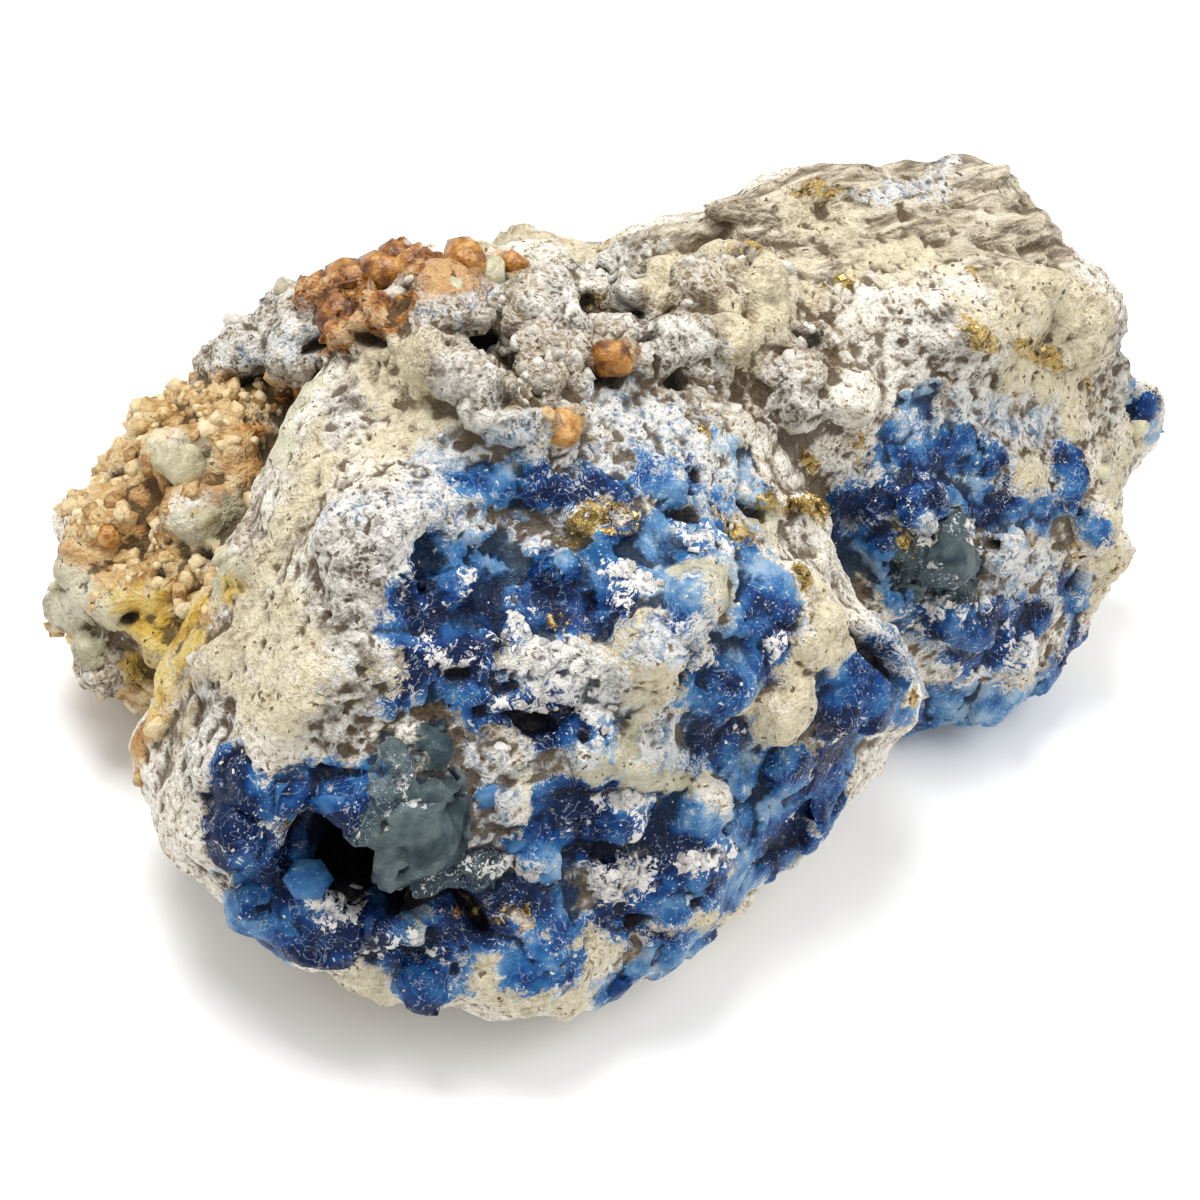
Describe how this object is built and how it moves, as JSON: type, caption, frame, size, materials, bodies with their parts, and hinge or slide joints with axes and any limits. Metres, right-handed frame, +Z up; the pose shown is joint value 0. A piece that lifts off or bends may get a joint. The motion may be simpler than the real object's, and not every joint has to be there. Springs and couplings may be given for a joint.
{
  "type": "mineral specimen",
  "caption": "Rough lump of pale marble matrix grown through with deep-blue crystals and brassy metallic grains, resting on a flat foot.",
  "frame": {"origin": "centre of the bounding box in X and Y, at the flat foot in Z", "axes": "+X along the length of the stone towards its high end, +Y to its back, +Z up"},
  "size_m": [0.16, 0.098, 0.069],
  "materials": {
    "matrix": "rough pale cream and grey marble with pitted crust",
    "afghanite": "glassy translucent deep blue",
    "pyrite": "dull brassy metallic grains",
    "iron_stain": "rust-brown and tan stained calcite"
  },
  "bodies": {
    "root": {"stone": "matrix"}
  },
  "joints": []
}
